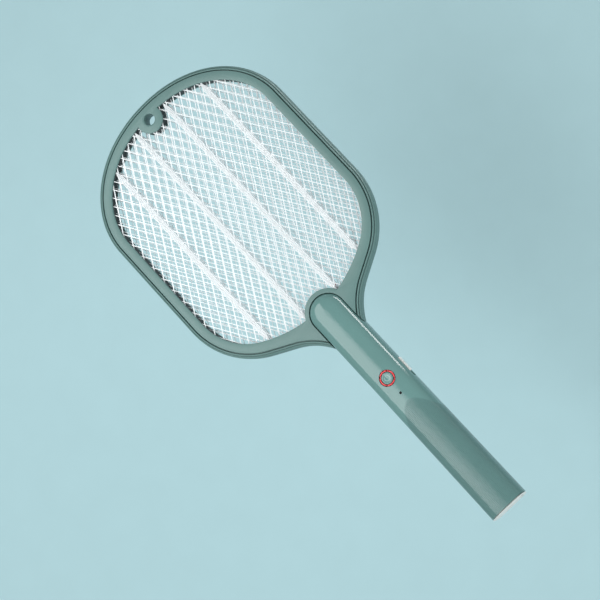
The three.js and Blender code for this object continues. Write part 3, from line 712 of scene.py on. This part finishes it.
def ridge(x, height):
    """A ridge pressed into a net: a crest of strands side by side that meet in a point at each end."""
    limit = grown(opening, 0.6)
    heights = np.arange(HANDLE_TIP_Y, HEAD_TOP_Y + HEAD_TOP_RISE, 0.25)
    along = heights[inside(limit, np.c_[np.full(len(heights), x), heights])]
    stations = np.linspace(along[0], along[-1], 120)
    mesh = bmesh.new()
    for k, offset in enumerate(RIDGE_LINE_OFFSETS):
        crest = RIDGE_HEIGHT * (1 - (offset / RIDGE_CROWN_HALF_WIDTH) ** 2)
        rows = []
        for y in stations:
            from_end = min(y - along[0], along[-1] - y) / RIDGE_TAPER
            share = RIDGE_TIP_SHARE + (1 - RIDGE_TIP_SHARE) * min(1.0, from_end)
            wave = RIDGE_WAVE * math.sin(2 * math.pi * (y / CELL_LENGTH * 2 + k * 0.5))
            middle = x + (offset + wave) * share
            top = height + STRAND_HALF_THICKNESS + crest * share
            shoulder = top - 0.12
            half = RIDGE_LINE_HALF_WIDTH * (0.5 + 0.5 * share)
            section = [(-1, height), (-1, shoulder), (0, top), (1, shoulder), (1, height)]
            rows.append([
                mesh.verts.new((middle + side * half, y, level)) for side, level in section
            ])
        for row, following in zip(rows, rows[1:]):
            for i in range(len(row)):
                j = (i + 1) % len(row)
                mesh.faces.new((row[i], row[j], following[j], following[i]))
        mesh.faces.new(rows[0])
        mesh.faces.new(rows[-1])
    smooth(mesh)
    return mesh


def screw(node, x, y):
    """A pan-head screw with a cross recess, as long as its CAD node, with its head to the rear."""
    low, high = reach(node)
    head = (high.x - low.x) / 2
    shank = head * 0.54
    seat = low.z + head * 0.75
    turned = lathe([
        (0, high.z), (shank * 0.6, high.z), (shank, high.z - 0.8), (shank, seat), (head, seat),
        (head, low.z + 0.7), (head * 0.9, low.z + 0.35), (head * 0.6, low.z + 0.08), (0, low.z),
    ], x, y, 40)
    arm, half, depth = head * 0.62, 0.28, 0.9
    recess = cut(
        box((x - arm, y - half, low.z - 1), (x + arm, y + half, low.z + depth)),
        box((x - half, y - arm, low.z - 1), (x + half, y + arm, low.z + depth)),
        "UNION",
    )
    return cut(turned, recess)


def build_head():
    piece(bezel(), "front_bezel_plate", "racket", "frame_plastic", ["front_bezel"])
    piece(
        bezel([(-x, y) for x, y in HEAD_SCREWS]), "rear_bezel_plate", "racket", "frame_plastic",
        ["rear_bezel"], TURNED_OVER,
    )
    piece(rim(), "front_rim_bead", "racket", "frame_plastic", ["front_rim"])
    piece(rim(), "rear_rim_bead", "racket", "frame_plastic", ["rear_rim"], TURNED_OVER)
    piece(spacer(), "front_spacer_ring", "racket", "black_plastic", ["front_net_spacer"])
    piece(
        spacer(), "rear_spacer_ring", "racket", "black_plastic", ["rear_net_spacer"], TURNED_OVER
    )

    outer_height = reach("front_net")[0].z + STRAND_HALF_THICKNESS
    ridges = [step * RIDGE_SPACING for step in (-1.5, -0.5, 0.5, 1.5)]
    nets = [
        ("front", outer_height, (0.0, 0.0), 1.0, 0.0, None),
        ("middle", 0.0, (3.7, -1.2), 0.99, math.radians(0.6), None),
        ("rear", outer_height, (0.7, -2.4), 1.008, math.radians(0.5), TURNED_OVER),
    ]
    for name, height, shift, stretch, turn, over in nets:
        mesh = expanded_metal(height, np.array(shift), stretch, turn)
        piece(mesh, f"{name}_net_mesh", "racket", "net_aluminium", [f"{name}_net"], over, 50)
        if name != "middle":
            for i, x in enumerate(ridges):
                piece(
                    ridge(x, height), f"{name}_net_ridge_{i + 1}", "racket", "net_aluminium",
                    turn=over, sharp=60,
                )
    for i, (x, y) in enumerate(HEAD_SCREWS):
        node = f"head_screw_{i + 1}"
        piece(screw(node, x, y), f"{node}_recessed", "racket", "steel", [node])


# ---- handle ----


def flare(y):
    return 1 + (HANDLE_FLARE - 1) * np.maximum(0, 1 - np.asarray(y) / FLARE_LENGTH)


def half_section(inset, count):
    """The front half of the handle's section in X and Z, evenly spaced, from +X over to -X."""
    angles = np.linspace(0, math.pi, 2001)
    line = superellipse(
        HANDLE_HALF_WIDTH - inset, HANDLE_HALF_DEPTH - inset, HANDLE_POWER, angles
    )
    line = resampled(line, count)
    line[:, 1] = np.maximum(line[:, 1], PARTING)
    return line


def cover_skin(inset, ribbed, rear):
    """Points and faces of one half of the handle's skin: the grip, the smooth part and the round tip."""
    columns = RIB_COUNT * POINTS_PER_RIB + 1
    section = half_section(inset, columns)
    normal = unit(np.gradient(section, axis=0))[:, ::-1] * (1, -1)
    groove = (np.arange(columns) % POINTS_PER_RIB == 0) * 1.0
    start_y = GRIP_START_Y - GRIP_START_DROP * (section[:, 0] / GRIP_START_SPREAD) ** 2
    grip_shares = np.r_[np.linspace(0, RIB_END_SHARE, 22), 0.99, 1.0]
    smooth_shares = np.linspace(0, 1, 20)[1:]
    rows = []
    for share in grip_shares:
        y = HANDLE_END_Y + (start_y - HANDLE_END_Y) * share
        depth = groove * (RIB_DEPTH if ribbed and share <= RIB_END_SHARE else 0)
        rows.append((y, section * flare(y)[:, None] - normal * depth[:, None]))
    for share in smooth_shares:
        y = start_y + (HANDLE_TIP_Y - start_y) * share
        rows.append((y, section * flare(y)[:, None]))
    points = [np.c_[at[:, 0], y, at[:, 1]] for y, at in rows]
    faces = grid_faces(len(rows), columns, 0)
    first = len(rows) * columns
    middle = columns // 2
    turns = np.linspace(0, math.pi, 49)
    for turn in turns:
        x, z = section[: middle + 1].T
        points.append(np.c_[x * math.cos(turn), HANDLE_TIP_Y + x * math.sin(turn), z])
    faces += [face[::-1] for face in grid_faces(len(turns), middle + 1, first)]
    points = np.vstack(points)
    if rear:
        points[:, 2] = -np.minimum(points[:, 2], -REST_Z - inset)
    return points, faces


def grid_faces(rows, columns, first):
    return [
        (a, a + 1, a + columns + 1, a + columns)
        for row in range(rows - 1)
        for a in range(first + row * columns, first + (row + 1) * columns - 1)
    ]


def shell(outer, inner, faces):
    """A closed shell between two skins that share their faces, joined along the open edges."""
    numbers, kept = {}, []
    merged = []
    for i, at in enumerate(np.round(outer, 4).tolist()):
        place = tuple(at)
        if place not in numbers:
            numbers[place] = len(kept)
            kept.append(i)
        merged.append(numbers[place])
    count = len(kept)
    quads = [list(dict.fromkeys(merged[k] for k in face)) for face in faces]
    quads = [face for face in quads if len(face) > 2]
    once = {}
    for face in quads:
        for a, b in zip(face, face[1:] + face[:1]):
            key = (min(a, b), max(a, b))
            once[key] = None if key in once else (a, b)
    edges = [pair for pair in once.values() if pair]
    mesh = bmesh.new()
    verts = [mesh.verts.new(at) for at in [*outer[kept], *inner[kept]]]
    for face in quads:
        mesh.faces.new([verts[k] for k in face])
        mesh.faces.new([verts[k + count] for k in reversed(face)])
    for a, b in edges:
        mesh.faces.new([verts[b], verts[a], verts[a + count], verts[b + count]])
    smooth(mesh)
    return mesh


def cover(rear):
    outer, faces = cover_skin(0, True, rear)
    inner, _ = cover_skin(WALL, False, rear)
    return shell(outer, inner, faces)


def slider_slot():
    """What is cut out of the covers' side for the knob's bar and its travel."""
    bar_low, bar_high = SLIDER_BAR_Y
    half = SLIDER_HALF_HEIGHT + GAP
    travel = next(joint for joint in frame["joints"] if joint["name"] == "power_slide")
    length = max(travel["range_m"]) / MM
    return box((10, bar_low - length - GAP, -half), (HANDLE_HALF_WIDTH + 5, bar_high + GAP, half))


def build_handle():
    drills = [
        lathe([(0, 5), (radius, 5), (radius, 20), (0, 20)], 0, y, sides)
        for radius, y, sides in ((BUTTON_WELL_RADIUS, RING_Y, 96), (LENS_HOLE_RADIUS, LENS_Y, 40))
    ]
    front = cut(cover(False), joined(*drills, slider_slot()))
    piece(front, "front_cover_skin", "racket", "handle_plastic", ["handle_front_cover"], sharp=32)

    rear = cover(True)
    screws = []
    for i in range(2):
        low, high = reach(f"handle_screw_{i + 1}")
        screws.append(((low.x + high.x) / 2, (low.y + high.y) / 2, low.z))
    for x, y, head_low in screws:
        seat = head_low + SCREW_SEAT_DEPTH
        post = [(0, -11.5), (4, -11.5), (4, -PARTING), (0, -PARTING)]
        hole = [
            (0, -20), (3.1, -20), (3.1, REST_Z), (2.8, REST_Z + 0.3), (2.8, seat), (1.6, seat),
            (1.6, 2), (0, 2),
        ]
        rear = cut(rear, lathe(post, x, y, 48), "UNION")
        rear = cut(rear, lathe(hole, x, y, 48))
    rear = cut(rear, slider_slot())
    piece(rear, "rear_cover_skin", "racket", "handle_plastic", ["handle_rear_cover"], sharp=32)
    for i, (x, y, _) in enumerate(screws):
        node = f"handle_screw_{i + 1}"
        piece(screw(node, x, y), f"{node}_recessed", "racket", "steel", [node])


def full_section(inset, scale=HANDLE_FLARE):
    """The whole handle section in X and Z, flat along the back."""
    line = superellipse(
        HANDLE_HALF_WIDTH - inset / scale, HANDLE_HALF_DEPTH - inset / scale, HANDLE_POWER,
        np.linspace(0, 2 * math.pi, 4001),
    )
    line = resampled(line, 161)[:-1] * scale
    line[:, 1] = np.maximum(line[:, 1], REST_Z + inset)
    return line


def rounded_slot(half_width, half_height, z):
    flat = half_width - half_height
    right = arc((flat, z), half_height, -math.pi / 2, math.pi / 2, 12)
    left = arc((-flat, z), half_height, math.pi / 2, math.pi * 3 / 2, 12)
    return np.vstack([right, left])


def build_end_cap():
    flange = 0.8
    steps = [
        (4.6, 0.0), (4.5, 0.55), (3.1, 0.55), (3.0, 0.0), (0.4, 0.0), (0.12, 0.08), (0.0, 0.2),
        (0.0, 0.38), (2.3, 0.38), (2.3, 7.0), (4.9, 7.0), (4.9, flange + 0.1),
    ]
    low, high = reach("charge_socket")
    half_width = high.x + GAP
    half_height = (high.z - low.z) / 2 + GAP
    z = (high.z + low.z) / 2
    mouth = [
        (rounded_slot(half_width + 0.25, half_height + 0.25, z), 0.0),
        (rounded_slot(half_width, half_height, z), 0.25),
        (rounded_slot(half_width, half_height, z), flange + 0.1),
    ]
    cap = plate([[(full_section(inset), y) for inset, y in steps], mouth])
    piece(cap, "end_cap_face", "racket", "white_plastic", ["end_cap"], UP_ALONG_Y)


# ---- controls ----


def build_controls():
    top = reach("power_button")[1].z
    low = reach("power_button")[0].z
    dish = [
        (0, top - 0.16), (2, top - 0.13), (3.4, top - 0.06), (4.3, top), (4.65, top - 0.06),
        (4.88, top - 0.25), (BUTTON_RADIUS, top - 0.5), (BUTTON_RADIUS, 8.6), (6.3, 8.6),
        (6.3, 7.6), (2.2, 7.6),
        (2.2, low), (0, low),
    ]
    piece(lathe(dish, 0, RING_Y, 96), "power_button_cap", "button", "handle_plastic", ["power_button"])

    build_button_mark(top)

    ring_low, ring_high = reach("button_light_ring")
    inner, outer = RING_INNER_RADIUS, RING_OUTER_RADIUS
    face = ring_high.z
    base = ring_low.z
    band = [
        (inner, face - 0.25), (inner + 0.2, face), (outer - 0.2, face), (outer, face - 0.25),
        (outer, base + 0.8), (8.2, base + 0.8), (8.2, base), (inner, base), (inner, face - 0.25),
    ]
    ring = bmesh.new()
    sides = 144
    rings = [
        [
            ring.verts.new((r * math.cos(a), RING_Y + r * math.sin(a), z - ring_drop(a, z, face)))
            for a in np.arange(sides) * 2 * math.pi / sides
        ]
        for r, z in band[:-1]
    ]
    for line, following in zip(rings, rings[1:] + rings[:1]):
        for i in range(sides):
            j = (i + 1) % sides
            ring.faces.new((line[i], line[j], following[j], following[i]))
    piece(ring, "light_ring_segments", "racket", "red_plastic", ["button_light_ring"])

    lens_low, lens_high = reach("status_lens")
    lens = lathe([
        (0, lens_high.z), (0.45, lens_high.z - 0.06), (0.75, lens_high.z - 0.22),
        (0.9, lens_high.z - 0.5), (0.9, 7), (1.6, 7), (1.6, lens_low.z), (0, lens_low.z),
    ], 0, LENS_Y, 40)
    piece(lens, "status_lens_dome", "racket", "black_plastic", ["status_lens"])
    build_slider()


def build_button_mark(top):
    """A plain on-off sign printed in the button's dish: an open ring and a bar."""
    mark = moulded("button_print", linear(150, 178, 174), 0.45, 0.000002)
    low, high = top - 0.3, top - 0.06
    start, end = math.radians(125), math.radians(415)
    outline = np.vstack([
        arc((0, RING_Y), 2.5, start, end, 40), arc((0, RING_Y), 1.95, end, start, 40)
    ])
    open_ring = plate([[(outline, high), (outline, low)]])
    bar = box((-0.28, RING_Y + 0.6, low), (0.28, RING_Y + 3.0, high), 0.05)
    piece(joined(open_ring, bar), "button_on_off_sign", "button", "handle_plastic", finish=mark)


def ring_drop(angle, z, face):
    """The ring's face is broken by four narrow gaps, a quarter turn apart."""
    off = math.degrees(angle) % 90 - 45
    return RING_GAP_DEPTH if abs(off) < RING_GAP_HALF_ANGLE and z > face - 0.4 else 0.0


def build_slider():
    """The knob: a bar with five cross grooves, on a flange that slides inside the wall."""
    low, high = reach("slide_switch_knob")
    bar_low, bar_high = SLIDER_BAR_Y
    middle = (bar_low + bar_high) / 2
    outside = high.x
    edge = [(bar_low, 12.9), (bar_low, outside - 0.6), (bar_low + 0.6, outside)]
    for step in range(-4, 5, 2):
        edge += [
            (middle + step - 0.45, outside), (middle + step - 0.3, outside - 0.4),
            (middle + step + 0.3, outside - 0.4), (middle + step + 0.45, outside),
        ]
    edge += [(bar_high - 0.6, outside), (bar_high, outside - 0.6), (bar_high, 12.9)]
    outline = np.array(edge)[:, ::-1]
    half = SLIDER_HALF_HEIGHT
    inset = grown(outline, -0.22)
    bar = plate([[(inset, half), (outline, half - 0.25), (outline, 0.25 - half), (inset, -half)]])
    flange = box((low.x + 2.7, low.y, -4.2), (13.5, high.y, 4.2), 0.3)
    tail = box((low.x, middle - 1.5, 5.4), (13.0, middle + 1.5, 6.4), 0.2)
    post = box((12.3, middle - 2, 3.9), (13.2, middle + 2, 6.4), 0.2)
    knob = joined(bar, flange, tail, post)
    piece(knob, "slide_knob_grip", "slider", "white_plastic", ["slide_switch_knob"])


build_head()
build_handle()
build_end_cap()
build_controls()

# ---- studio ----

AIM = Vector((-11.5, 240.7, 0)) * MM + ORIGIN
CAMERA_DISTANCE = 1.6323
CAMERA_AZIMUTH = math.radians(39.27)
CAMERA_ELEVATION = math.radians(72.56)
CAMERA_ROLL = math.radians(83.32)
FOCAL_LENGTH = 119.05
FLOOR_DROP = 0.3


def build_camera():
    away = Vector((
        math.sin(CAMERA_AZIMUTH) * math.cos(CAMERA_ELEVATION),
        -math.cos(CAMERA_AZIMUTH) * math.cos(CAMERA_ELEVATION),
        math.sin(CAMERA_ELEVATION),
    ))
    data = bpy.data.cameras.new("camera")
    data.lens = FOCAL_LENGTH
    data.sensor_width = 36
    camera = bpy.data.objects.new("camera", data)
    camera.location = AIM + away * CAMERA_DISTANCE
    camera.rotation_mode = "QUATERNION"
    upright = (-away).to_track_quat("-Z", "Y")
    camera.rotation_quaternion = upright @ Quaternion((0, 0, 1), -CAMERA_ROLL)
    bpy.context.scene.collection.objects.link(camera)
    bpy.context.scene.camera = camera


def softbox(name, direction, y, across, along, radiance, diffuse=True, glossy=True):
    """A rectangular light a metre away in a direction from the middle line at y, in W/m2/sr."""
    data = bpy.data.lights.new(name, "AREA")
    data.shape = "RECTANGLE"
    data.size = along
    data.size_y = across
    data.energy = radiance * math.pi * across * along
    back = Vector(direction).normalized()
    length = Vector((0, -1, 0)) if abs(back.y) < 0.5 else Vector((1, 0, 0))
    length = (length - back * length.dot(back)).normalized()
    turn = Matrix((length, back.cross(length), back)).transposed()
    light = bpy.data.objects.new(name, data)
    light.matrix_world = Matrix.Translation(Vector((0, y, PARTING_HEIGHT)) + back) @ turn.to_4x4()
    light.visible_diffuse = diffuse
    light.visible_glossy = glossy
    bpy.context.scene.collection.objects.link(light)


def sideways(degrees):
    """A direction square to the handle, this far from upright towards +X."""
    return math.sin(math.radians(degrees)), 0, math.cos(math.radians(degrees))


def build_studio():
    softbox("key_softbox", sideways(-24.6), 0.42, 0.495, 1.16, 3.7)
    softbox("fill_softbox", sideways(-42), 0.1, 1.0, 1.0, 1.4, glossy=False)
    softbox("strip_softbox", sideways(87), 0.495, 0.46, 0.81, 10.0, diffuse=False)
    softbox("side_softbox", sideways(62), 0.1, 0.6, 0.6, 1.5, glossy=False)
    softbox("front_softbox", (0.45, -0.75, 0.48), -0.1, 0.7, 0.7, 3.0, glossy=False)

    world = bpy.data.worlds.new("world")
    world.use_nodes = True
    background = world.node_tree.nodes["Background"]
    background.inputs["Color"].default_value = (0.93, 1.0, 1.0, 1)
    background.inputs["Strength"].default_value = 0.34
    bpy.context.scene.world = world

    size = 40.0
    mesh = bmesh.new()
    bmesh.ops.create_grid(mesh, x_segments=4, y_segments=4, size=size / 2)
    data = bpy.data.meshes.new("floor")
    mesh.to_mesh(data)
    mesh.free()
    floor = bpy.data.objects.new("floor", data)
    floor.location = (0, 0, cad_low.z - FLOOR_DROP)
    bpy.context.scene.collection.objects.link(floor)
    finish = moulded("floor_paper", linear(174, 207, 213), 0.9, 0.00002, spread=0.01)
    floor.data.materials.append(finish.material)
    bpy.context.scene.view_settings.view_transform = "Standard"


build_camera()
build_studio()
